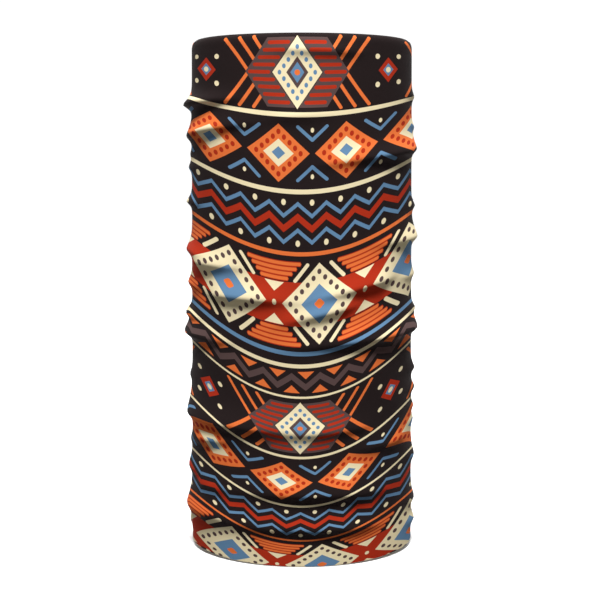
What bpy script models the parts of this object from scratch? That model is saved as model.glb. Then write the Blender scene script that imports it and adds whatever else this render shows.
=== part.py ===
"""Neck gaiter: one rolled panel of stretch knit, closed by a flat seam down the back.

Units are metres and +Z is up.  The gaiter stands on its lower rim, the origin is the
middle of that rim's box, and the front of the gaiter faces -Y.
"""

import math

import bmesh
import bpy

# Driving dimensions
HEIGHT = 0.410            # standing height of the ruched tube
TOP_HALF_WIDTH = 0.0910   # oval section at the upper rim, middle of the cloth
TOP_HALF_DEPTH = 0.0650
FLARE = 0.05              # the lower rim is this much wider than the upper one
WALL = 0.0010             # double-faced knit
GAP = 0.0003              # clearance between pieces that touch
SECTION_STEPS = 120       # facets round the tube

# Rolled-in upper rim
ROLL_HEIGHT = 0.008
ROLL_INSET = 0.003
ROLL_STEPS = 4

# Back seam: the two edges overlap and are sewn down flat
LAP_HALF = 0.005                      # half of the overlap
LAP_OFFSET = (WALL + GAP) / 2         # each edge moves this far, in or out
LAP_RAMP = math.radians(25)           # the edges part over this much of the oval

# Threads of the seam
THREAD_THICK = 0.00035
NEEDLE_X = 0.0026
NEEDLE_WIDTH = 0.0005
ZIGZAG_X = 0.0017
ZIGZAG_WIDTH = 0.0004
ZIGZAG_PITCH = 0.0040
SEAM_LOW = 0.002
SEAM_HIGH = HEIGHT - ROLL_HEIGHT - 0.002
TACK_HALF_WIDTH = 0.0040
TACK_HEIGHT = 0.0050
TACK_MARGIN = 0.0030                  # from the end of the seam to the bar tack

# Care label, folded once and hung inside the back seam
LABEL_HALF_WIDTH = 0.0100
LABEL_DROP = 0.0350
LABEL_TOP = 0.0800
LABEL_CLOTH = 0.0003
LABEL_FOLD_GAP = 0.0006
LABEL_STITCH_HALF = 0.0080
LABEL_STITCH_DOWN = 0.0030

# Offsets from the middle of the cloth at the back, inwards negative
OUTER_FACE = LAP_OFFSET + WALL / 2
INNER_FACE = -OUTER_FACE
OUTER_THREAD = OUTER_FACE + GAP
OUTER_TACK = OUTER_THREAD + THREAD_THICK + GAP
INNER_THREAD = INNER_FACE - GAP - THREAD_THICK
LABEL_OUTER = INNER_THREAD - GAP - 0.0002
LABEL_THICK = 2 * LABEL_CLOTH + LABEL_FOLD_GAP
LABEL_STITCH = LABEL_OUTER - LABEL_THICK - GAP - THREAD_THICK

# The seam's stack stands proud at the back, so the oval moves forward by half of it
BACK_PROUD = OUTER_TACK + THREAD_THICK - WALL / 2
CENTRE_Y = -BACK_PROUD / 2

COLOURS = {
    "knit": (0.030, 0.018, 0.016, 1.0),
    "thread": (0.034, 0.024, 0.022, 1.0),
    "looper": (0.55, 0.51, 0.45, 1.0),
    "label": (0.72, 0.70, 0.66, 1.0),
}
ROUGHNESS = {"knit": 0.9, "thread": 0.6, "looper": 0.7, "label": 0.45}


def clear_scene():
    for item in list(bpy.data.objects):
        bpy.data.objects.remove(item, do_unlink=True)


def material(name):
    made = bpy.data.materials.new(name)
    made.use_nodes = True
    shader = made.node_tree.nodes["Principled BSDF"]
    shader.inputs["Base Color"].default_value = COLOURS[name]
    shader.inputs["Roughness"].default_value = ROUGHNESS[name]
    shader.inputs["Metallic"].default_value = 0.0
    return made


def add_object(name, bm, finish, parent):
    """Turn a bmesh into a named object with one material."""
    bmesh.ops.recalc_face_normals(bm, faces=bm.faces)
    mesh = bpy.data.meshes.new(name)
    bm.to_mesh(mesh)
    bm.free()
    mesh.materials.append(finish)
    piece = bpy.data.objects.new(name, mesh)
    bpy.context.collection.objects.link(piece)
    piece.parent = parent
    return piece


def smooth(t):
    """Ease from 0 to 1."""
    t = min(max(t, 0.0), 1.0)
    return t * t * (3 - 2 * t)


def flare_scale(z):
    """Size of the oval at height z, as a share of the upper rim's."""
    return 1 + FLARE * (1 - z / HEIGHT)


def roll_profile():
    """Heights and insets of the rings: straight up to the rolled-in upper rim."""
    rings = [(0.0, 0.0), (HEIGHT - ROLL_HEIGHT, 0.0)]
    for step in range(1, ROLL_STEPS + 1):
        turn = math.pi / 2 * step / ROLL_STEPS
        z = HEIGHT - ROLL_HEIGHT * (1 - math.sin(turn))
        rings.append((z, ROLL_INSET * (1 - math.cos(turn))))
    return rings


def lap_angle():
    return LAP_HALF / TOP_HALF_WIDTH


def lap_shift(angle):
    """How far the cloth leaves the oval at this angle, so that its edges overlap."""
    start = math.pi - LAP_RAMP
    return math.copysign(LAP_OFFSET * smooth((abs(angle) - start) / (LAP_RAMP - lap_angle())), angle)


def section_point(angle, z, inset, offset):
    """A point of the oval; angle 0 is the front, and offset is along the outward normal."""
    half_width = TOP_HALF_WIDTH * flare_scale(z) - inset
    half_depth = TOP_HALF_DEPTH * flare_scale(z) - inset
    normal_x = half_depth * math.sin(angle)
    normal_y = -half_width * math.cos(angle)
    length = math.hypot(normal_x, normal_y)
    x = half_width * math.sin(angle) + offset * normal_x / length
    y = -half_depth * math.cos(angle) + offset * normal_y / length
    return (x, y, z)


def make_panel(parent, finish):
    """The knit panel, rolled into a tube whose two side edges overlap at the back."""
    bm = bmesh.new()
    reach = math.pi + lap_angle()
    grid = []
    for z, inset in roll_profile():
        inner = []
        outer = []
        for step in range(SECTION_STEPS + 1):
            angle = -reach + 2 * reach * step / SECTION_STEPS
            shift = lap_shift(angle)
            inner.append(bm.verts.new(section_point(angle, z, inset, shift - WALL / 2)))
            outer.append(bm.verts.new(section_point(angle, z, inset, shift + WALL / 2)))
        grid.append((inner, outer))
    for (low_in, low_out), (high_in, high_out) in zip(grid, grid[1:]):
        for step in range(SECTION_STEPS):
            bm.faces.new((low_out[step], low_out[step + 1], high_out[step + 1], high_out[step]))
            bm.faces.new((low_in[step + 1], low_in[step], high_in[step], high_in[step + 1]))
        bm.faces.new((low_in[0], low_out[0], high_out[0], high_in[0]))
        bm.faces.new((low_out[-1], low_in[-1], high_in[-1], high_out[-1]))
    for (inner, outer), upward in ((grid[0], False), (grid[-1], True)):
        for step in range(SECTION_STEPS):
            rim = (outer[step], outer[step + 1], inner[step + 1], inner[step])
            bm.faces.new(rim if upward else tuple(reversed(rim)))
    panel = add_object("printed_panel", bm, finish, parent)
    panel.data.shade_smooth()
    panel.data.set_sharp_from_angle(angle=math.radians(40))
    return panel


def seam_frame():
    """An empty on the back of the oval, leaning with the flare, for what is sewn there."""
    lean = TOP_HALF_DEPTH * FLARE / HEIGHT
    frame = bpy.data.objects.new("seam_frame", None)
    frame.location = (0.0, CENTRE_Y + TOP_HALF_DEPTH * flare_scale(0.0), 0.0)
    frame.rotation_euler = (math.atan(lean), 0.0, 0.0)
    bpy.context.collection.objects.link(frame)
    return frame


def block(name, parent, finish, x, y_low, z_low, size):
    """A bar with square edges, centred on x, standing on y_low and z_low."""
    bm = bmesh.new()
    bmesh.ops.create_cube(bm, size=1.0)
    bmesh.ops.scale(bm, vec=size, verts=bm.verts)
    piece = add_object(name, bm, finish, parent)
    piece.location = (x, y_low + size[1] / 2, z_low + size[2] / 2)
    return piece


def zigzag(name, parent, finish, y_low, low, high):
    """A thread that crosses the seam from side to side, as one thin ribbon."""
    bm = bmesh.new()
    rise = ZIGZAG_PITCH / 2
    turns = int((high - low) / rise)
    half = ZIGZAG_WIDTH / 2 * math.hypot(2 * ZIGZAG_X, rise) / rise
    corners = [(-half, 0.0), (half, 0.0), (half, THREAD_THICK), (-half, THREAD_THICK)]
    rings = []
    for turn in range(turns + 1):
        x = ZIGZAG_X if turn % 2 else -ZIGZAG_X
        rings.append([bm.verts.new((x + across, y, low + turn * rise)) for across, y in corners])
    for lower, upper in zip(rings, rings[1:]):
        for side in range(4):
            after = (side + 1) % 4
            bm.faces.new((lower[side], lower[after], upper[after], upper[side]))
    bm.faces.new(list(reversed(rings[0])))
    bm.faces.new(rings[-1])
    piece = add_object(name, bm, finish, parent)
    piece.location = (0.0, y_low, 0.0)
    return piece


def make_seam(parent, thread, looper):
    """Two needle threads and a cover thread outside, a looper thread inside, and bar tacks."""
    size = (NEEDLE_WIDTH, THREAD_THICK, SEAM_HIGH - SEAM_LOW)
    for side, x in (("left", -NEEDLE_X), ("right", NEEDLE_X)):
        block(f"seam_needle_thread_{side}", parent, thread, x, OUTER_THREAD, SEAM_LOW, size)
    zigzag("seam_cover_thread", parent, thread, OUTER_THREAD, SEAM_LOW, SEAM_HIGH)
    zigzag("seam_looper_thread", parent, looper, INNER_THREAD, SEAM_LOW, SEAM_HIGH)
    tack = (2 * TACK_HALF_WIDTH, THREAD_THICK, TACK_HEIGHT)
    top = SEAM_HIGH - TACK_MARGIN - TACK_HEIGHT
    block("seam_bartack_bottom", parent, thread, 0.0, OUTER_TACK, SEAM_LOW + TACK_MARGIN, tack)
    block("seam_bartack_top", parent, thread, 0.0, OUTER_TACK, top, tack)


def make_label(parent, finish, thread):
    """A blank label: two leaves of satin joined by a fold at their lower end."""
    bm = bmesh.new()
    outline = [
        (0.0, LABEL_TOP),
        (0.0, LABEL_TOP - LABEL_DROP),
        (-LABEL_THICK, LABEL_TOP - LABEL_DROP),
        (-LABEL_THICK, LABEL_TOP),
        (-LABEL_THICK + LABEL_CLOTH, LABEL_TOP),
        (-LABEL_THICK + LABEL_CLOTH, LABEL_TOP - LABEL_DROP + LABEL_CLOTH),
        (-LABEL_CLOTH, LABEL_TOP - LABEL_DROP + LABEL_CLOTH),
        (-LABEL_CLOTH, LABEL_TOP),
    ]
    near = [bm.verts.new((-LABEL_HALF_WIDTH, y, z)) for y, z in outline]
    far = [bm.verts.new((LABEL_HALF_WIDTH, y, z)) for y, z in outline]
    bm.faces.new(near)
    bm.faces.new(list(reversed(far)))
    for corner in range(len(outline)):
        after = (corner + 1) % len(outline)
        bm.faces.new((near[corner], far[corner], far[after], near[after]))
    label = add_object("care_label", bm, finish, parent)
    label.location = (0.0, LABEL_OUTER, 0.0)
    size = (2 * LABEL_STITCH_HALF, THREAD_THICK, NEEDLE_WIDTH)
    stitch_z = LABEL_TOP - LABEL_STITCH_DOWN
    block("label_stitch_thread", parent, thread, 0.0, LABEL_STITCH, stitch_z, size)


def main():
    clear_scene()
    body = bpy.data.objects.new("gaiter", None)
    body.location = (0.0, CENTRE_Y, 0.0)
    bpy.context.collection.objects.link(body)
    knit = material("knit")
    thread = material("thread")
    looper = material("looper")
    label = material("label")
    make_panel(body, knit)
    frame = seam_frame()
    make_seam(frame, thread, looper)
    make_label(frame, label, looper)
    bpy.context.view_layer.update()


main()
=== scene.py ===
"""The looks of the neck gaiter: ruched printed knit, its back seam and its label.

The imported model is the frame. The cloth is one rolled sheet whose shape is worked out by
formula from the frame's box: an oval tube with folds gathered down both sides and soft
folds that cross the front and the back. The print is drawn by shader nodes in millimetres
of cloth, and each vertex carries its place in the print as UV coordinates.
"""

import math
import random

import bpy
import numpy as np
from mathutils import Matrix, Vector


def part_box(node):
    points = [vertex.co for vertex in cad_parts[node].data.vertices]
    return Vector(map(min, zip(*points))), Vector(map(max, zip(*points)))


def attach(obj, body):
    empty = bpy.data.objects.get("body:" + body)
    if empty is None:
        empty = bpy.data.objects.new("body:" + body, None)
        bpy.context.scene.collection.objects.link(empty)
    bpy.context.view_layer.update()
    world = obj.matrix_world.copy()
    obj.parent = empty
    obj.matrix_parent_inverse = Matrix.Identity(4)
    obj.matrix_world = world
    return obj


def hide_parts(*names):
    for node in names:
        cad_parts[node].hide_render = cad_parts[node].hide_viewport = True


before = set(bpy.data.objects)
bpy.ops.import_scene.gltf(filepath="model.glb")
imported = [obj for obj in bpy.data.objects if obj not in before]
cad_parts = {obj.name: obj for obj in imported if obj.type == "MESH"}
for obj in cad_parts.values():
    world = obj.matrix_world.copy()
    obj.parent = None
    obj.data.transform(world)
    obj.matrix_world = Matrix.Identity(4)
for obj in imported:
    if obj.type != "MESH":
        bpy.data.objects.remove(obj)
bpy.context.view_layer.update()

MM = 0.001

# ---------------------------------------------------------------- shape of the tube
PANEL_LOW, PANEL_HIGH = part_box("printed_panel")
HEIGHT = PANEL_HIGH.z
CAD_WALL = 1.0 * MM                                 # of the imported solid
WALL = 0.8 * MM                                     # of the knit
CAD_FLARE = 0.05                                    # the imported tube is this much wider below
FLARE = 0.036                                       # and the cloth is this much wider below
TAKE_UP = 0.967                                     # the oval is narrower, and folds stand out
HALF_WIDTH = TAKE_UP * (PANEL_HIGH.x - CAD_WALL / 2) / (1 + CAD_FLARE)   # at the upper rim
HALF_DEPTH = 0.065
CENTRE_Y = PANEL_LOW.y + CAD_WALL / 2 + HALF_DEPTH * (1 + CAD_FLARE)
ROLL_HEIGHT = 6 * MM                                # the upper rim rolls in a little
ROLL_INSET = 3 * MM
TOP_DIP = 1.4 * MM                                  # the rims hang lower at front and back
BOTTOM_LIFT = 3.4 * MM                              # and the lower rim rises at the sides
LAP_HALF = 5 * MM                                   # half of the overlap at the back
LAP_OFFSET = (WALL + 0.3 * MM) / 2                  # of each layer from the middle of the two
LAP_RAMP = math.radians(25)
COLUMNS = 180                                       # vertices round and up
ROWS = 270
SHARP_EDGE = math.radians(70)

# ---------------------------------------------------------------- camera and place in the print
EYE_DISTANCE = 0.86                                 # from the middle of the tube
EYE_HEIGHT = 0.288
EYE_ASIDE = -0.0014
EYE_TILT = math.radians(5.70)
LENS = 62.88
PRINT_SCALE = 805.4                                 # mm of print for one unit of slope from the eye
PRINT_AROUND = 417.3                                # mm of print around the tube
SIDE_PRINT = 91.5                                   # mm of it from the front to the side
SPREAD = 12.4                                       # it is spread out at the sides
EVEN_OUT = 0.9
PRINT_STEADY = 0.91                                 # of it that folds don't shift sideways
SEEN_AT_TOP = -8.5                                  # mm that perspective lowers the front
SEEN_GROWTH = 30.9                                  # and how much that grows down the tube
SAG_AT_TOP = 1.2                                    # mm that the print hangs at the front
SAG_GROWTH = 3.3
SAG = 28.4
SAG_ONSET = 4.3                                     # power by which SAG sets in below the top
SAG_END = 12                                        # power by which it ends at the bottom
SAG_STEPS = 40                                      # until the sag agrees with its own place
RIM_PRINT = -0.8                                    # mm, the highest place of print at the rim
SIDE_ROUNDING = 0.004                               # front and back meet smoothly at the sides
GATHER_FROM = 281.0                                 # mm below the rim, where ruching starts
GATHER_LINEAR = 0.40                                # spare cloth, growing down from there
GATHER_CUBIC = 1.49e-5

# ---------------------------------------------------------------- seam and label, in mm
SEAM_ROW = 2.6                                      # of each needle row from the middle
SEAM_FACE = 1.08                                    # of threads from the middle of the overlap
SEAM_FOOT = 2.4
STITCH = 3.0
SEAM_STITCHES = 132
LABEL_WIDTH = 20.0
LABEL_TOP = 80.0
LABEL_DROP = 35.0
LABEL_CLOTH = 0.16
LABEL_TURN = 0.4                                    # radius of its fold
LABEL_STITCH_DOWN = 3.0

# ---------------------------------------------------------------- studio
WORLD_FRONT = 0.16
WORLD_BACK = 1.05
WORLD_TURN = (0.4, 0.92)                            # y of the direction, from one to the other
KEY_POWER = 74.0
KEY_PLACE = (0.0, -0.98, 2.05)
KEY_TARGET = (0.0, 0.0, 0.2)
KEY_SIZE = (0.6, 0.45)
BACK_POWER = 170.0
BACK_PLACE = (0.0, 2.4, 2.2)
BACK_TARGET = (0.0, 2.4, 0.0)
BACK_SIZE = (6.0, 4.0)
FLOOR_WIDTH = 8.0
FLOOR_DEPTH = 7.65
FLOOR_FRONT = 3.6                                   # how far it reaches in front
FLOOR_Z = -0.0005

# ---------------------------------------------------------------- the print, in mm
REPEAT = 283.6                                      # of the whole design, down the cloth
REPEAT_START = -2.6                                 # its first line lies above the rim
REPEAT_SHIFT = 2.2                                  # and each repeat is moved round by this
FINER_BELOW = 262.0                                 # mm, where the second repeat's lines start
LINE_THINNING = 0.25                                # and they are this much finer
HEXAGONS, BIG_DIAMONDS, SMALL_DIAMONDS, ZIGZAGS = 3, 6, 8, 19

GROUND = (0.0165, 0.0105, 0.0105)
CREAM = (0.880, 0.755, 0.480)
ORANGE = (0.800, 0.175, 0.042)
RED = (0.430, 0.030, 0.010)
BLUE = (0.125, 0.245, 0.400)
BROWN = (0.098, 0.060, 0.057)
KNIT_WHITE = (0.72, 0.69, 0.63)
THREAD_DARK = (0.030, 0.022, 0.020)
THREAD_PALE = (0.66, 0.63, 0.57)
LABEL_WHITE = (0.80, 0.79, 0.76)


# ================================================================ shader expressions
class Term:
    """A number in a shader: arithmetic on it adds Math nodes."""

    def __init__(self, tree, source):
        self.tree = tree
        self.source = source

    def _math(self, operation, *values, clamp=False):
        node = self.tree.nodes.new("ShaderNodeMath")
        node.operation = operation
        node.use_clamp = clamp
        for socket, value in zip(node.inputs, values):
            if isinstance(value, Term):
                self.tree.links.new(value.source, socket)
            else:
                socket.default_value = value
        return Term(self.tree, node.outputs[0])

    def __add__(self, other):
        return self._math("ADD", self, other)

    def __sub__(self, other):
        return self._math("SUBTRACT", self, other)

    def __rsub__(self, other):
        return self._math("SUBTRACT", other, self)

    def __mul__(self, other):
        return self._math("MULTIPLY", self, other)

    def scaled(self, factor, plus):
        return self._math("MULTIPLY_ADD", self, factor, plus)

    def abs(self):
        return self._math("ABSOLUTE", self)

    def floor(self):
        return self._math("FLOOR", self)

    def round(self):
        return self._math("ROUND", self)

    def root(self):
        return self._math("SQRT", self)

    def sine(self):
        return self._math("SINE", self)

    def smaller(self, other):
        return self._math("MINIMUM", self, other)

    def larger(self, other):
        return self._math("MAXIMUM", self, other)

    def back_and_forth(self, pitch):
        """Distance to the nearest multiple of pitch."""
        return self._math("PINGPONG", self, pitch / 2)

    def wrapped(self, low, high):
        return self._math("WRAP", self, high, low)

    def under(self, limit, soft=0.16):
        """1 where this is under the limit, 0 over it, with an edge as soft as ink in knit."""
        return self._math("MULTIPLY_ADD", self, -1 / soft, limit / soft + 0.5, clamp=True)


def both(first, second):
    """The overlap of two masks."""
    return first * second


def dot(x, y, half_width, half_height):
    """Mask of an upright oval at the origin of x, y."""
    across = x * (1 / half_width)
    down = y * (1 / half_height)
    return (across * across + down * down).under(1.0, soft=0.2)


def diamond(x, y, half_width, half_height):
    """Mask of a diamond; x and y are distances from its middle."""
    return (x * (half_height / half_width) + y).under(half_height, soft=0.22)


def bar(x, y, start, end, half_thick):
    """Mask of a straight stroke with round ends."""
    run = (end[0] - start[0], end[1] - start[1])
    length_squared = run[0] ** 2 + run[1] ** 2
    from_x = x - start[0]
    from_y = y - start[1]
    along = from_x * (run[0] / length_squared) + from_y * (run[1] / length_squared)
    along = along.larger(0.0).smaller(1.0)
    off_x = from_x - along * run[0]
    off_y = from_y - along * run[1]
    return (off_x * off_x + off_y * off_y).root().under(half_thick)


def dot_ring(x, y, half_width, half_height, count, radii):
    """Mask of dots spaced along a diamond, count to a side, counting each corner once."""
    place = (x * (count / half_width)).round().smaller(count)
    off_x = x - place * (half_width / count)
    off_y = y - place.scaled(-half_height / count, half_height)
    return dot(off_x, off_y, *radii)


class Paint:
    """The print so far: each coat covers what lies under its mask."""

    def __init__(self, tree, ground):
        self.tree = tree
        self.source = None
        self.ground = ground

    def coat(self, mask, colour):
        node = self.tree.nodes.new("ShaderNodeMix")
        node.data_type = "RGBA"
        self.tree.links.new(mask.source, node.inputs["Factor"])
        if self.source is None:
            node.inputs["A"].default_value = (*self.ground, 1.0)
        else:
            self.tree.links.new(self.source, node.inputs["A"])
        node.inputs["B"].default_value = (*colour, 1.0)
        self.source = node.outputs["Result"]


# ================================================================ the bands of the print
def hexagon_band(paint, u, down):
    """A barred hexagon with a dotted diamond in it, arrow strokes, and small diamonds."""
    pitch = PRINT_AROUND / HEXAGONS
    x = (u + 3.5).back_and_forth(pitch)
    y = (down - 33.35).abs()
    strokes = (((55.0, 28.4), (38.4, 1.5)), ((44.3, 28.4), (33.4, 10.4)), ((33.4, 28.4), (27.9, 19.2)))
    for start, end in strokes:
        paint.coat(bar(x, y, start, end, 1.3), ORANGE)
    half_width, half_top, half_height = 39.8, 23.0, 27.3
    slope = (half_width - half_top) / half_height
    paint.coat(both((x + y * slope).under(half_width), y.under(half_height)), BROWN)
    row = (y * (1 / 5.86)).round().smaller(4.0)
    bar_x = (x - row.scaled(-3.84, 29.4)).abs() - 7.1
    bar_y = (y - row * 5.86).abs()
    along = bar_x.larger(0.0)
    paint.coat((along * along + bar_y * bar_y).root().under(1.5), RED)
    paint.coat(diamond(x, y, 19.8, 29.2), GROUND)
    paint.coat(diamond(x, y, 19.2, 28.4), CREAM)
    paint.coat(dot_ring(x, y, 13.7, 19.8, 4, (1.4, 1.9)), BLUE)
    paint.coat(diamond(x, y, 8.45, 12.5), BROWN)
    paint.coat(diamond(x, y, 5.4, 8.15), BLUE)
    paint.coat(dot(x, y, 2.15, 2.3), ORANGE)
    x = pitch / 2 - x
    paint.coat(diamond(x, y, 7.3, 11.9), RED)
    paint.coat(diamond(x, y, 3.85, 6.15), BLUE)
    paint.coat(dot(x, y, 1.75, 2.6), CREAM)
    paint.coat(dot(x - 8.0, y - 12.7, 1.7, 2.45), CREAM)


def small_diamond_band(paint, u, down):
    """Orange diamonds with red dots, and blue chevrons above and below between them."""
    pitch = PRINT_AROUND / SMALL_DIAMONDS
    x = (u + 18.0).back_and_forth(pitch)
    y = (down - 95.9).abs()
    paint.coat(diamond(x, y, 24.1, 22.75), ORANGE)
    paint.coat(dot_ring(x, y, 17.05, 16.45, 4, (1.6, 2.15)), RED)
    paint.coat(diamond(x, y, 11.7, 10.9), CREAM)
    paint.coat(diamond(x, y, 5.2, 5.05), BLUE)
    x = pitch / 2 - x
    paint.coat(bar(x, y, (11.2, 20.6), (0.0, 10.3), 1.3), BLUE)
    paint.coat(dot(x, y - 17.9, 1.3, 1.9), CREAM)


def zigzag_band(paint, u, down):
    """Three zigzags, blue, red and blue, between two rows of cream dots."""
    pitch = PRINT_AROUND / ZIGZAGS
    x = (u - 7.85).back_and_forth(pitch)
    zigzags = ((139.4, 4.84, 1.77, BLUE), (149.4, 4.75, 2.9, RED), (159.7, 4.84, 1.77, BLUE))
    for middle, reach, half_thick, colour in zigzags:
        wave = x.scaled(-4 * reach / pitch, reach)
        paint.coat((down - middle - wave).abs().under(half_thick), colour)
    paint.coat(dot(x, down - 133.7, 1.75, 2.4), CREAM)
    paint.coat(dot(pitch / 2 - x, down - 165.1, 1.75, 2.4), CREAM)


def fan(paint, x, y):
    """Four orange stripes, wider away from the middle, with red between them."""
    stripe = 3.84
    row = ((y - 17.5) * (1 / stripe)).floor().larger(0.0).smaller(3.0)
    step = (y - row.scaled(stripe, 17.5 + stripe / 2)).abs()
    wide = row.scaled(3.3, 11.2) - step * 0.45
    inside = both((x - wide).under(0.0), (y - 25.2).abs().under(2 * stripe))
    paint.coat(inside, RED)
    paint.coat(both(both((x - wide).under(-0.4, soft=0.6), step.under(1.3, soft=0.5)), inside), ORANGE)


def big_diamond_band(paint, u, down):
    """Large cream diamonds on a red band of crosses, with fans above and below."""
    pitch = PRINT_AROUND / BIG_DIAMONDS
    x = (u - 13.5).back_and_forth(pitch)
    y = (down - 211.95).abs()
    middle = pitch / 2 - x
    paint.coat(y.under(16.9), RED)
    fan(paint, middle, y)
    paint.coat(both((middle * 1.04 + 8.6 - y).under(0.0), y.under(16.3)), CREAM)
    paint.coat(dot(middle, y, 1.6, 2.2), CREAM)
    paint.coat(both(diamond(x, y, 38.5, 42.6), (16.9 - y).under(0.0)), GROUND)
    paint.coat(bar(x, y, (18.7, 18.1), (9.15, 30.3), 1.4), CREAM)
    paint.coat(diamond(x, y, 28.6, 31.6), CREAM)
    paint.coat(dot_ring(x, y, 22.3, 24.8, 5, (1.6, 2.1)), BROWN)
    paint.coat(diamond(x, y, 13.9, 15.3), BLUE)
    paint.coat(both(diamond(x, y, 4.3, 4.5), x.larger(y).under(3.7)), ORANGE)


def brown_zigzag_band(paint, u, down):
    """One broad brown zigzag with orange triangles in its bays."""
    pitch = PRINT_AROUND / ZIGZAGS
    x = (u - 3.1).back_and_forth(pitch)
    y = down - 271.4
    wave = x.scaled(-4 * 4.15 / pitch, 4.15)
    paint.coat((y - wave).abs().under(2.6), BROWN)
    above = (x * (5.7 / 6.4) + y).under(-2.15)
    paint.coat(both(above, (y * -1.0).under(7.85)), ORANGE)
    below = ((pitch / 2 - x) * (5.85 / 6.3) - y).under(-2.75)
    paint.coat(both(below, y.under(8.6)), ORANGE)


def make_print_group():
    """The print as a node group: UV coordinates in metres of cloth in, colour out."""
    tree = bpy.data.node_groups.new("woven_bands_print", "ShaderNodeTree")
    tree.interface.new_socket("Place", in_out="INPUT", socket_type="NodeSocketVector")
    tree.interface.new_socket("Color", in_out="OUTPUT", socket_type="NodeSocketColor")
    start = tree.nodes.new("NodeGroupInput")
    split = tree.nodes.new("ShaderNodeSeparateXYZ")
    tree.links.new(start.outputs["Place"], split.inputs[0])
    around = Term(tree, split.outputs["X"]) * 1000.0
    along = Term(tree, split.outputs["Y"]) * 1000.0 - REPEAT_START
    down = along.wrapped(0.0, REPEAT)
    u = around - (along * (1 / REPEAT)).floor() * REPEAT_SHIFT
    paint = Paint(tree, GROUND)
    hexagon_band(paint, u, down)
    small_diamond_band(paint, u, down)
    zigzag_band(paint, u, down)
    big_diamond_band(paint, u, down)
    brown_zigzag_band(paint, u, down)
    lines = (
        (66.0, 1.85, CREAM), (125.3, 1.8, CREAM), (173.2, 1.6, ORANGE),
        (249.9, 1.65, BLUE), (259.4, 1.5, CREAM),
    )
    finer = (along - FINER_BELOW).larger(0.0).smaller(1.0) * -LINE_THINNING + 1.0
    for place, half_thick, colour in lines:
        paint.coat(((down - place).abs() - finer * half_thick).under(0.0), colour)
    paint.coat((down.back_and_forth(REPEAT) - finer * 1.3).under(0.0), CREAM)
    end = tree.nodes.new("NodeGroupOutput")
    tree.links.new(paint.source, end.inputs["Color"])
    return tree


# ================================================================ materials
def new_material(name, roughness):
    made = bpy.data.materials.new(name)
    made.use_nodes = True
    shader = made.node_tree.nodes["Principled BSDF"]
    shader.inputs["Roughness"].default_value = roughness
    shader.inputs["Metallic"].default_value = 0.0
    return made, made.node_tree, shader


def knit_relief(tree, shader, strength):
    """Columns of small V stitches, as bump."""
    place = tree.nodes.new("ShaderNodeUVMap")
    place.uv_map = "print"
    split = tree.nodes.new("ShaderNodeSeparateXYZ")
    tree.links.new(place.outputs["UV"], split.inputs[0])
    wale = 0.95
    course = 0.75
    around = Term(tree, split.outputs["X"]) * 1000.0
    along = Term(tree, split.outputs["Y"]) * 1000.0
    across = around.back_and_forth(wale)
    lean = along + across * 1.1
    loop = (lean * (2 * math.pi / course)).sine()
    rib = (across - wale / 4).abs() * (-4 / wale) + 1.0
    height = loop * 0.5 + rib
    bump = tree.nodes.new("ShaderNodeBump")
    bump.inputs["Strength"].default_value = strength
    bump.inputs["Distance"].default_value = 0.09 * MM
    tree.links.new(height.source, bump.inputs["Height"])
    tree.links.new(bump.outputs["Normal"], shader.inputs["Normal"])
    return height


def printed_knit_material(group):
    """Face of the cloth: sublimation print on fine knit, with painted shade in the knit's hollows."""
    made, tree, shader = new_material("printed_knit", 0.82)
    shader.inputs["Sheen Weight"].default_value = 0.01
    shader.inputs["Sheen Roughness"].default_value = 0.5
    shader.inputs["Specular IOR Level"].default_value = 0.05
    place = tree.nodes.new("ShaderNodeUVMap")
    place.uv_map = "print"
    design = tree.nodes.new("ShaderNodeGroup")
    design.node_tree = group
    tree.links.new(place.outputs["UV"], design.inputs["Place"])
    height = knit_relief(tree, shader, 0.35)
    # painted shade: the print is darkened a little where the knit relief is low
    painted_shade_tone = tree.nodes.new("ShaderNodeHueSaturation")
    tree.links.new(design.outputs["Color"], painted_shade_tone.inputs["Color"])
    tree.links.new((height * 0.035 + 0.965).source, painted_shade_tone.inputs["Value"])
    tree.links.new(painted_shade_tone.outputs["Color"], shader.inputs["Base Color"])
    return made


def knit_back_material(group):
    """Inside of the cloth: unprinted knit with a faint ghost of the print."""
    made, tree, shader = new_material("knit_back", 0.9)
    shader.inputs["Specular IOR Level"].default_value = 0.2
    place = tree.nodes.new("ShaderNodeUVMap")
    place.uv_map = "print"
    design = tree.nodes.new("ShaderNodeGroup")
    design.node_tree = group
    tree.links.new(place.outputs["UV"], design.inputs["Place"])
    blend = tree.nodes.new("ShaderNodeMix")
    blend.data_type = "RGBA"
    blend.inputs["Factor"].default_value = 0.17
    blend.inputs["A"].default_value = (*KNIT_WHITE, 1.0)
    tree.links.new(design.outputs["Color"], blend.inputs["B"])
    tree.links.new(blend.outputs["Result"], shader.inputs["Base Color"])
    knit_relief(tree, shader, 0.5)
    return made


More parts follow.
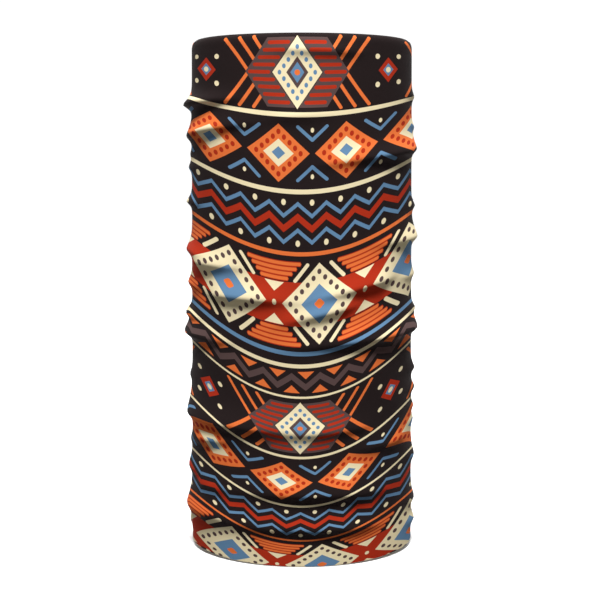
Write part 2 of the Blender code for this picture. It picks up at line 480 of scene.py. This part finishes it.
def thread_material(name, colour):
    """Spun sewing thread: fine twist as bump, with painted shade that darkens the colour in the
    twist's grooves.
    """
    made, tree, shader = new_material(name, 0.55)
    shader.inputs["Sheen Weight"].default_value = 0.2
    place = tree.nodes.new("ShaderNodeTexCoord")
    wave = tree.nodes.new("ShaderNodeTexWave")
    wave.wave_type = "BANDS"
    wave.bands_direction = "DIAGONAL"
    wave.inputs["Scale"].default_value = 900.0
    wave.inputs["Distortion"].default_value = 1.5
    tree.links.new(place.outputs["Object"], wave.inputs["Vector"])
    # painted shade: the thread's colour drops to 0.6 where the twist bump is low
    blend = tree.nodes.new("ShaderNodeMix")
    blend.data_type = "RGBA"
    blend.inputs["A"].default_value = (*[0.6 * part for part in colour], 1.0)
    blend.inputs["B"].default_value = (*colour, 1.0)
    tree.links.new(wave.outputs["Fac"], blend.inputs["Factor"])
    tree.links.new(blend.outputs["Result"], shader.inputs["Base Color"])
    bump = tree.nodes.new("ShaderNodeBump")
    bump.inputs["Strength"].default_value = 0.5
    bump.inputs["Distance"].default_value = 0.05 * MM
    tree.links.new(wave.outputs["Fac"], bump.inputs["Height"])
    tree.links.new(bump.outputs["Normal"], shader.inputs["Normal"])
    return made


def label_material():
    """Blank satin: long floats across, fine ribs, a little shine, and painted shade in the low places
    of the weave.
    """
    made, tree, shader = new_material("label_satin", 0.38)
    shader.inputs["Sheen Weight"].default_value = 0.3
    place = tree.nodes.new("ShaderNodeTexCoord")
    split = tree.nodes.new("ShaderNodeSeparateXYZ")
    tree.links.new(place.outputs["Object"], split.inputs[0])
    across = Term(tree, split.outputs["X"]) * (2 * math.pi / (0.5 * MM))
    up = Term(tree, split.outputs["Z"]) * (2 * math.pi / (0.3 * MM))
    weave = up.sine() * 0.5 + (across + up * 0.5).sine() * 0.3
    # painted shade: the white drops to 0.9 where the weave relief is low
    blend = tree.nodes.new("ShaderNodeMix")
    blend.data_type = "RGBA"
    blend.inputs["A"].default_value = (*[0.9 * part for part in LABEL_WHITE], 1.0)
    blend.inputs["B"].default_value = (*LABEL_WHITE, 1.0)
    tree.links.new((weave + 0.5).source, blend.inputs["Factor"])
    tree.links.new(blend.outputs["Result"], shader.inputs["Base Color"])
    bump = tree.nodes.new("ShaderNodeBump")
    bump.inputs["Strength"].default_value = 0.4
    bump.inputs["Distance"].default_value = 0.03 * MM
    tree.links.new(weave.source, bump.inputs["Height"])
    tree.links.new(bump.outputs["Normal"], shader.inputs["Normal"])
    return made


# ================================================================ folds
# Each fold is a ridge of cloth, in mm: distance round from the front centre and height
# where it starts and ends, how far it stands out, and its width above and below the crest.
SIDE = 121                                          # distance round to the side of the tube
SEAM_CLEAR = 34                                     # from the seam to where folds end
LEFT_FOLDS = (
    # ridges ruched over the left side, from the back round to the front
    (-150, 360, -34, 361, 7.0, 6.0, 3.2), (-146, 332, -14, 345, 5.0, 9.0, 3.4),
    (-140, 321, -95, 322, 1.4, 4.0, 3.5), (-146, 312, -84, 309, 2.8, 5.0, 3.5),
    (-146, 285, -82, 281, 4.6, 5.0, 3.2), (-150, 248, -72, 240, 4.8, 8.0, 4.0),
    (-146, 221, -72, 213, 3.4, 6.0, 3.5), (-146, 196, -76, 189, 4.4, 5.0, 3.2),
    (-150, 180, -40, 173, 6.5, 10.0, 3.6), (-144, 143, -90, 140, 1.9, 5.0, 3.5),
    (-150, 115, 44, 103, 6.4, 14.0, 5.5), (-140, 88, -96, 87, 1.6, 4.5, 3.5),
    (-146, 67, -70, 64, 3.0, 9.0, 4.5), (-152, 36, 0, 31, 5.2, 12.0, 7.0),
    (-142, 21, -88, 18, 1.8, 5.0, 3.5),
    # soft folds that run out over the front
    (-112, 236, -34, 232, 4.6, 11.0, 4.5), (-88, 212, 14, 206, 4.6, 11.0, 4.5),
    (-112, 92, -40, 97, 3.8, 9.0, 4.2), (-100, 57, -46, 55, 2.0, 8.0, 4.5),
    (-30, 345, 36, 349, 2.0, 9.0, 5.0),
)
RIGHT_FOLDS = (
    # ridges ruched over the right side
    (144, 366, 84, 368, 2.2, 4.5, 3.5), (142, 342, 92, 344, 2.0, 4.0, 3.5),
    (150, 331, -12, 307, 5.2, 9.0, 4.0), (144, 281, 88, 279, 3.0, 4.5, 3.5),
    (148, 258, 46, 249, 5.0, 10.0, 4.0), (144, 227, 74, 222, 2.4, 5.0, 3.5),
    (142, 198, 84, 196, 2.6, 4.0, 3.5), (152, 186, -34, 169, 6.8, 10.0, 4.0),
    (144, 146, 82, 149, 3.0, 5.0, 3.5), (142, 131, 86, 131, 3.0, 4.5, 3.5),
    (140, 116, 94, 115, 2.2, 4.0, 3.5), (140, 105, 92, 104, 1.9, 4.0, 4.0),
    (146, 75, 80, 74, 2.8, 8.0, 4.5), (144, 39, 80, 38, 2.8, 7.0, 4.0),
    (142, 20, 88, 20, 2.8, 5.5, 3.5),
    # soft folds over the front
    (56, 395, -46, 397, 2.8, 7.0, 4.5), (86, 227, -10, 205, 4.6, 11.0, 4.5),
    (50, 206, -30, 187, 4.4, 10.0, 4.5), (84, 56, -86, 58, 5.6, 13.0, 5.2),
    (76, 29, -74, 30, 4.6, 9.0, 4.2), (98, 96, 28, 89, 3.4, 10.0, 4.5),
    (64, 110, -30, 102, 3.0, 10.0, 4.5),
)


def smooth(t):
    t = np.clip(t, 0.0, 1.0)
    return t * t * (3 - 2 * t)


def arc_lengths():
    """Arc length from the front, in metres, against angle, for a quarter of the upper oval."""
    angles = np.linspace(0.0, math.pi / 2, 400)
    speed = np.hypot(HALF_WIDTH * np.cos(angles), HALF_DEPTH * np.sin(angles))
    steps = (speed[1:] + speed[:-1]) / 2 * np.diff(angles)
    return angles, np.concatenate(([0.0], np.cumsum(steps)))


QUARTER_ANGLES, QUARTER_ARCS = arc_lengths()
QUARTER = QUARTER_ARCS[-1]


def arc_at(angle):
    """Signed arc length from the front centre; the back centre is twice QUARTER away."""
    size = np.abs(angle)
    near = np.interp(np.minimum(size, math.pi - size), QUARTER_ANGLES, QUARTER_ARCS)
    near = np.where(size <= math.pi / 2, near, 2 * QUARTER - near)
    beyond = np.interp(size - math.pi, QUARTER_ANGLES, QUARTER_ARCS)
    return np.sign(angle) * np.where(size > math.pi, 2 * QUARTER + beyond, near)


def one_fold(arc, z, fold):
    """Height of one ridge at points given in mm round and mm up."""
    start, start_z, end, end_z, stands, above, below = fold
    along = (arc - start) / (end - start)
    lift = z - (start_z + (end_z - start_z) * along)
    profile = np.exp(-np.power(np.abs(lift) / np.where(lift > 0, above, below), 1.5))
    return stands * profile * smooth(along / 0.30) * smooth((1 - along) / 0.60)


def back_folds():
    """The same ruching behind, swapped left for right, varied a little and clear of the seam."""
    vary = random.Random(7)
    folds = []
    for start, start_z, end, end_z, stands, above, below in LEFT_FOLDS + RIGHT_FOLDS:
        side = 1 if start < 0 else -1
        move = vary.uniform(-7, 7)
        begin = max(2 * SIDE - abs(start), SIDE + 2)
        finish = min(2 * SIDE - abs(end), 2 * SIDE - SEAM_CLEAR)
        crest = (side * begin, start_z + move, side * finish, end_z + move)
        folds.append((*crest, stands * 0.8, above, below))
    return folds


def cloth_stands_out(arc, z):
    """All the folds together: how far the cloth stands out from the oval, in mm."""
    round_mm = arc / MM
    up_mm = z / MM
    out = np.zeros_like(round_mm)
    for fold in list(LEFT_FOLDS + RIGHT_FOLDS) + back_folds():
        out = out + one_fold(round_mm, up_mm, fold)
    return out


# ================================================================ the cloth's surface
def lap_shift(angle):
    """How far the cloth leaves the oval, so that its two edges overlap at the back."""
    lap = LAP_HALF / HALF_WIDTH
    start = math.pi - LAP_RAMP
    return np.sign(angle) * LAP_OFFSET * smooth((np.abs(angle) - start) / (LAP_RAMP - lap))


def rim_heights(angle):
    """Lowest and highest point of the cloth at an angle."""
    side = np.square(np.sin(angle))
    return BOTTOM_LIFT * side, HEIGHT - TOP_DIP * (1 - side)


def cloth_points(angle, share, offset=0.0, folded=1.0):
    """Points of the cloth; share runs from the lower rim, 0, to the upper rim, 1."""
    low, high = rim_heights(angle)
    z = low + (high - low) * share
    from_top = (high - z) / ROLL_HEIGHT
    turn = np.sqrt(np.maximum(1 - np.square(1 - np.clip(from_top, 0.0, 1.0)), 0.0))
    inset = ROLL_INSET * (1 - turn)
    scale = 1 + FLARE * (1 - z / HEIGHT)
    half_width = HALF_WIDTH * scale - inset
    half_depth = HALF_DEPTH * scale - inset
    normal_x = half_depth * np.sin(angle)
    normal_y = -half_width * np.cos(angle)
    length = np.hypot(normal_x, normal_y)
    out = lap_shift(angle) + offset + folded * cloth_stands_out(arc_at(angle), z) * MM
    x = half_width * np.sin(angle) + out * normal_x / length
    y = CENTRE_Y - half_depth * np.cos(angle) + out * normal_y / length
    return np.stack([x, y, z], axis=-1)


def cloth_normals(points):
    """Unit normals of a grid of points, outwards."""
    along = np.gradient(points, axis=1)
    up = np.gradient(points, axis=0)
    normal = np.cross(along, up)
    return normal / np.linalg.norm(normal, axis=-1, keepdims=True)


def print_sag(from_top):
    """How much lower a line of the print hangs at the front than at the sides, in mm."""
    t = np.clip(from_top / (HEIGHT / MM), 0.0, 1.0)
    seen = SEEN_AT_TOP + SEEN_GROWTH * t
    droop = SAG * (1 - np.power(1 - t, SAG_ONSET)) * (1 - np.power(t, SAG_END))
    return seen + SAG_AT_TOP + SAG_GROWTH * t + droop


def print_around(arc):
    """Where the print is along its own width, for an arc length round from the front."""
    share = np.abs(arc) / QUARTER
    near = np.minimum(share, 1.0)
    front = SIDE_PRINT * near + SPREAD * np.sin(math.pi * near) - EVEN_OUT * np.sin(2 * math.pi * near)
    behind = np.maximum(share - 1.0, 0.0)
    back = (PRINT_AROUND / 2 - SIDE_PRINT) * behind - SPREAD * 0.6 * np.sin(math.pi * behind)
    return np.sign(arc) * (front + back) * MM


def seen_below(fall, distance):
    """How low a point is seen, in mm on the front of the tube."""
    return PRINT_SCALE * np.tan(np.arctan(fall / distance) - EYE_TILT)


def print_place(angle, points, unfolded):
    """UV coordinates: metres of print round from the front, and down from the upper rim.

    A place is worked out from where the eye sees the point. The back is laid out like the front.
    """
    along_fold = (points[..., 0] - unfolded[..., 0]) * smooth(4 * np.cos(angle))
    depth = np.hypot(points[..., 1] - CENTRE_Y, SIDE_ROUNDING)
    distance = EYE_DISTANCE - depth
    seen_low = seen_below(EYE_HEIGHT - points[..., 2], distance)
    widest = HALF_WIDTH / math.sqrt(EYE_DISTANCE ** 2 - HALF_DEPTH ** 2)
    taper = 1 + FLARE * (1 - points[..., 2] / HEIGHT)
    seen_side = np.minimum(np.abs(points[..., 0]) / (distance * taper * widest), 1.03)
    top = seen_below(EYE_HEIGHT - HEIGHT + TOP_DIP, EYE_DISTANCE - HALF_DEPTH)
    down = seen_low - top
    for _ in range(SAG_STEPS):
        down = seen_low - top + print_sag(down) * np.square(seen_side)
    down = np.maximum(down, RIM_PRINT)
    gathered = np.maximum(down - GATHER_FROM, 0.0)
    down = down + GATHER_LINEAR * gathered + GATHER_CUBIC * gathered ** 3
    return print_around(arc_at(angle)) + PRINT_STEADY * along_fold, down * MM


def grid_faces(rows, columns, first, outward):
    """Quads of a grid of vertices, numbered from first."""
    start = first + np.arange(rows - 1)[:, None] * columns + np.arange(columns - 1)[None, :]
    quads = np.stack([start, start + 1, start + columns + 1, start + columns], axis=-1)
    if not outward:
        quads = quads[..., ::-1]
    return quads.reshape(-1, 4)


def grid_border(rows, columns):
    """Vertices round the edge of a grid, in order, each once."""
    count = rows * columns
    return np.concatenate([
        np.arange(columns),
        np.arange(2 * columns - 1, count, columns),
        np.arange(count - 2, count - columns - 1, -1),
        np.arange(count - 2 * columns, 0, -columns),
    ])


def make_cloth(face, back):
    """The rolled sheet: outer and inner surface and the four cut edges between them."""
    lap = LAP_HALF / HALF_WIDTH
    angles = np.linspace(-math.pi - lap, math.pi + lap, COLUMNS)
    shares = np.linspace(0.0, 1.0, ROWS)
    angle, share = np.meshgrid(angles, shares)
    middle = cloth_points(angle, share)
    normals = cloth_normals(middle)
    outer = middle + normals * WALL / 2
    inner = middle - normals * WALL / 2
    around, down = print_place(angle, middle, cloth_points(angle, share, folded=0.0))
    points = np.concatenate([outer.reshape(-1, 3), inner.reshape(-1, 3)])
    places = np.stack([around, down], axis=-1).reshape(-1, 2)
    places = np.concatenate([places, places])
    count = ROWS * COLUMNS
    quads = [grid_faces(ROWS, COLUMNS, 0, True), grid_faces(ROWS, COLUMNS, count, False)]
    border = grid_border(ROWS, COLUMNS)
    after = np.roll(border, -1)
    quads.append(np.stack([border, border + count, after + count, after], axis=-1))
    faces = np.concatenate(quads)
    mesh = bpy.data.meshes.new("printed_cloth")
    mesh.from_pydata(points.tolist(), [], faces.tolist())
    mesh.materials.append(face)
    mesh.materials.append(back)
    slots = np.zeros(len(faces), np.int32)
    slots[len(quads[0]):] = 1
    mesh.polygons.foreach_set("material_index", slots)
    layer = mesh.uv_layers.new(name="print")
    loops = np.empty(len(mesh.loops), np.int32)
    mesh.loops.foreach_get("vertex_index", loops)
    layer.data.foreach_set("uv", places[loops].astype(np.float32).ravel())
    mesh.validate()
    mesh.shade_smooth()
    mesh.set_sharp_from_angle(angle=SHARP_EDGE)
    cloth = bpy.data.objects.new("printed_cloth", mesh)
    bpy.context.scene.collection.objects.link(cloth)
    return cloth


# ================================================================ seam and label
def seam_point(x, z, out):
    """A point by the back seam: x across, z up, out from the middle of the overlap, all mm."""
    height = HEIGHT - TOP_DIP
    scale = 1 + FLARE * (1 - z * MM / HEIGHT)
    angle = np.array(math.pi - x * MM / (HALF_WIDTH * scale))
    point = cloth_points(angle, np.array(z * MM / height), out * MM - LAP_OFFSET)
    return Vector(point.tolist())


def tube(path, radius, beside, sides=6):
    """Rings and quads of a thread along a path; beside is never along the path."""
    points = []
    faces = []
    for index, place in enumerate(path):
        ahead = path[min(index + 1, len(path) - 1)] - path[max(index - 1, 0)]
        first = ahead.cross(beside).normalized()
        second = ahead.cross(first).normalized()
        for corner in range(sides):
            turn = 2 * math.pi * corner / sides
            points.append(place + radius * (math.cos(turn) * first + math.sin(turn) * second))
    for index in range(len(path) - 1):
        for corner in range(sides):
            after = (corner + 1) % sides
            low = index * sides
            faces.append((low + corner, low + sides + corner, low + sides + after, low + after))
    faces.append(tuple(range(sides)))
    last = (len(path) - 1) * sides
    faces.append(tuple(last + corner for corner in reversed(range(sides))))
    return points, faces


def make_thread(name, node, path, radius, beside, finish):
    points, faces = tube(path, radius * MM, Vector(beside))
    mesh = bpy.data.meshes.new(name)
    mesh.from_pydata(points, [], faces)
    mesh.materials.append(finish)
    mesh.validate()
    mesh.shade_smooth()
    piece = bpy.data.objects.new(name, mesh)
    bpy.context.scene.collection.objects.link(piece)
    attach(piece, "root")
    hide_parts(node)


def needle_path(x):
    """Straight stitches over the outside, each dipping through both layers."""
    path = []
    for stitch in range(SEAM_STITCHES):
        start = SEAM_FOOT + stitch * STITCH
        over = ((0.0, 0.3), (0.2, SEAM_FACE), (1.3, SEAM_FACE + 0.06), (2.4, SEAM_FACE), (2.6, 0.3))
        for along, out in over:
            path.append(seam_point(x, start + along, out))
        path.append(seam_point(x, start + 2.8, -SEAM_FACE))
    return path


def zigzag_path(reach, out, rise):
    """A thread laid from side to side between the needle rows, crossing over them."""
    path = []
    count = int(SEAM_STITCHES * STITCH / rise) - 1
    for step in range(count):
        side = 1 if step % 2 else -1
        foot = SEAM_FOOT + 1.0 + step * rise
        path.append(seam_point(side * reach, foot, out))
        path.append(seam_point(side * reach, foot + 0.3, out))
        path.append(seam_point(side * reach * 0.35, foot + 0.3 + 0.35 * (rise - 0.3), out * 1.06))
        path.append(seam_point(-side * reach * 0.35, foot + 0.3 + 0.65 * (rise - 0.3), out * 1.06))
    return path


def bartack_path(foot):
    """Close satin stitches from side to side."""
    path = []
    rows = 18
    for row in range(rows):
        z = foot + 5.0 * row / (rows - 1)
        side = 1 if row % 2 else -1
        for share, out in ((-1.0, 0.2), (-0.92, 0.5), (0.0, 0.62), (0.92, 0.5), (1.0, 0.2)):
            path.append(seam_point(side * share * 3.9, z, SEAM_FACE + out))
    return path


def label_middle(s):
    """Distance inward from the seam and height, in mm, of the label at s mm along it."""
    turn = math.pi * LABEL_TURN
    straight = LABEL_DROP - LABEL_TURN
    if s < straight:
        return 0.0, LABEL_TOP - s
    if s < straight + turn:
        angle = (s - straight) / LABEL_TURN
        return LABEL_TURN * (1 - math.cos(angle)), LABEL_TOP - straight - LABEL_TURN * math.sin(angle)
    return 2 * LABEL_TURN, LABEL_TOP - straight + (s - straight - turn)


def label_point(x, s, inward):
    """A point of the label; the free lower end curls a little away from the cloth."""
    away, z = label_middle(s)
    hang = (LABEL_TOP - z) / LABEL_DROP
    curl = 1.6 * hang ** 2 + 0.35 * hang * math.sin(0.35 * x + 1.0)
    return seam_point(x, z, -(SEAM_FACE + 0.45 + away + curl + inward))


def make_label(finish):
    """A blank satin label folded once, its two ends held by a row of stitches."""
    length = 2 * (LABEL_DROP - LABEL_TURN) + math.pi * LABEL_TURN
    half = LABEL_CLOTH / 2
    straight = LABEL_DROP - LABEL_TURN
    stops = np.concatenate([
        np.linspace(0, straight, 16),
        np.linspace(straight, length - straight, 9)[1:-1],
        np.linspace(length - straight, length, 16),
    ])
    columns = 13
    rows = len(stops)
    middle = np.zeros((rows, columns, 3))
    for row, s in enumerate(stops):
        for column in range(columns):
            x = LABEL_WIDTH * (column / (columns - 1) - 0.5)
            middle[row, column] = label_point(x, float(s), 0.0)
    normals = cloth_normals(middle)
    front = (middle + normals * half * MM).reshape(-1, 3)
    rear = (middle - normals * half * MM).reshape(-1, 3)
    count = rows * columns
    border = grid_border(rows, columns)
    after = np.roll(border, -1)
    faces = np.concatenate([
        grid_faces(rows, columns, 0, True),
        grid_faces(rows, columns, count, False),
        np.stack([border, border + count, after + count, after], axis=-1),
    ])
    mesh = bpy.data.meshes.new("care_label_satin")
    mesh.from_pydata(np.concatenate([front, rear]).tolist(), [], faces.tolist())
    mesh.materials.append(finish)
    mesh.validate()
    mesh.shade_smooth()
    mesh.set_sharp_from_angle(angle=SHARP_EDGE)
    piece = bpy.data.objects.new("care_label_satin", mesh)
    bpy.context.scene.collection.objects.link(piece)
    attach(piece, "root")
    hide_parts("care_label")


def label_stitch_path():
    """Stitches across the top of the label, through both leaves and the seam."""
    path = []
    face = 2 * LABEL_TURN + LABEL_CLOTH / 2 + 0.12
    for stitch in range(6):
        x = -7.6 + stitch * 2.6
        over = ((0.0, face - 0.7), (0.15, face), (1.1, face + 0.05), (2.05, face), (2.2, face - 0.7))
        for along, inward in over:
            path.append(label_point(x + along, LABEL_STITCH_DOWN, inward))
    return path


def make_seam():
    """Two needle rows, the cover thread, the looper thread and the two bar tacks."""
    dark = thread_material("dark_thread", THREAD_DARK)
    pale = thread_material("pale_thread", THREAD_PALE)
    across = (1.0, 0.0, 0.0)
    through = (0.0, 1.0, 0.0)
    for side, x in (("left", -SEAM_ROW), ("right", SEAM_ROW)):
        name = "seam_needle_thread_" + side
        make_thread("needle_row_" + side, name, needle_path(x), 0.15, across, dark)
    cover = zigzag_path(SEAM_ROW + 0.1, SEAM_FACE + 0.3, 2.0)
    make_thread("cover_thread", "seam_cover_thread", cover, 0.13, through, dark)
    looper = zigzag_path(SEAM_ROW + 0.1, -SEAM_FACE - 0.15, 2.0)
    make_thread("looper_thread", "seam_looper_thread", looper, 0.13, through, pale)
    for name, foot in (("bottom", 5.0), ("top", 392.0)):
        path = bartack_path(foot)
        node = "seam_bartack_" + name
        make_thread("bartack_" + name, node, path, 0.16, (0.0, 0.3, 1.0), dark)
    path = label_stitch_path()
    node = "label_stitch_thread"
    make_thread("label_stitches", node, path, 0.13, (0.0, 0.0, 1.0), pale)


# ================================================================ stage
def make_stage():
    place = (0.0, FLOOR_DEPTH / 2 - FLOOR_FRONT, FLOOR_Z)
    bpy.ops.mesh.primitive_plane_add(size=1.0, location=place)
    floor = bpy.context.object
    floor.scale = (FLOOR_WIDTH, FLOOR_DEPTH, 1.0)
    floor.name = "studio_floor"
    made, _, shader = new_material("floor_paper", 0.95)
    shader.inputs["Base Color"].default_value = (0.9, 0.9, 0.9, 1.0)
    floor.data.materials.append(made)
    floor.visible_diffuse = False                   # so its reflected light doesn't fill the folds
    make_world()


def make_world():
    """Plain white to the camera; as light it is bright behind and dim in front."""
    world = bpy.data.worlds.new("studio")
    world.use_nodes = True
    tree = world.node_tree
    background = tree.nodes["Background"]
    background.inputs["Color"].default_value = (1.0, 1.0, 1.0, 1.0)
    place = tree.nodes.new("ShaderNodeTexCoord")
    split = tree.nodes.new("ShaderNodeSeparateXYZ")
    tree.links.new(place.outputs["Generated"], split.inputs[0])
    behind = tree.nodes.new("ShaderNodeMapRange")
    behind.interpolation_type = "SMOOTHSTEP"
    behind.inputs["From Min"].default_value = WORLD_TURN[0]
    behind.inputs["From Max"].default_value = WORLD_TURN[1]
    behind.inputs["To Min"].default_value = WORLD_FRONT
    behind.inputs["To Max"].default_value = WORLD_BACK
    tree.links.new(split.outputs["Y"], behind.inputs["Value"])
    seen = tree.nodes.new("ShaderNodeLightPath")
    strength = tree.nodes.new("ShaderNodeMath")
    strength.operation = "MAXIMUM"
    tree.links.new(behind.outputs["Result"], strength.inputs[0])
    tree.links.new(seen.outputs["Is Camera Ray"], strength.inputs[1])
    tree.links.new(strength.outputs["Value"], background.inputs["Strength"])
    bpy.context.scene.world = world


def area_light(name, place, target, size, power):
    light = bpy.data.lights.new(name, "AREA")
    light.shape = "RECTANGLE"
    light.size = size[0]
    light.size_y = size[1]
    light.energy = power
    lamp = bpy.data.objects.new(name, light)
    lamp.location = place
    lamp.rotation_euler = (Vector(target) - Vector(place)).to_track_quat("-Z", "Y").to_euler()
    bpy.context.scene.collection.objects.link(lamp)


def make_camera():
    camera = bpy.data.cameras.new("camera")
    camera.sensor_width = 36.0
    camera.lens = LENS
    camera.clip_start = 0.01
    eye = bpy.data.objects.new("camera", camera)
    eye.location = (EYE_ASIDE, CENTRE_Y - EYE_DISTANCE, EYE_HEIGHT)
    eye.rotation_euler = (math.radians(90) - EYE_TILT, 0.0, 0.0)
    bpy.context.scene.collection.objects.link(eye)
    bpy.context.scene.camera = eye


def main():
    group = make_print_group()
    cloth = make_cloth(printed_knit_material(group), knit_back_material(group))
    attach(cloth, "root")
    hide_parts("printed_panel")
    make_seam()
    make_label(label_material())
    make_stage()
    area_light("key", KEY_PLACE, KEY_TARGET, KEY_SIZE, KEY_POWER)
    area_light("floor_light", BACK_PLACE, BACK_TARGET, BACK_SIZE, BACK_POWER)
    make_camera()
    bpy.context.scene.view_settings.view_transform = "Standard"


main()
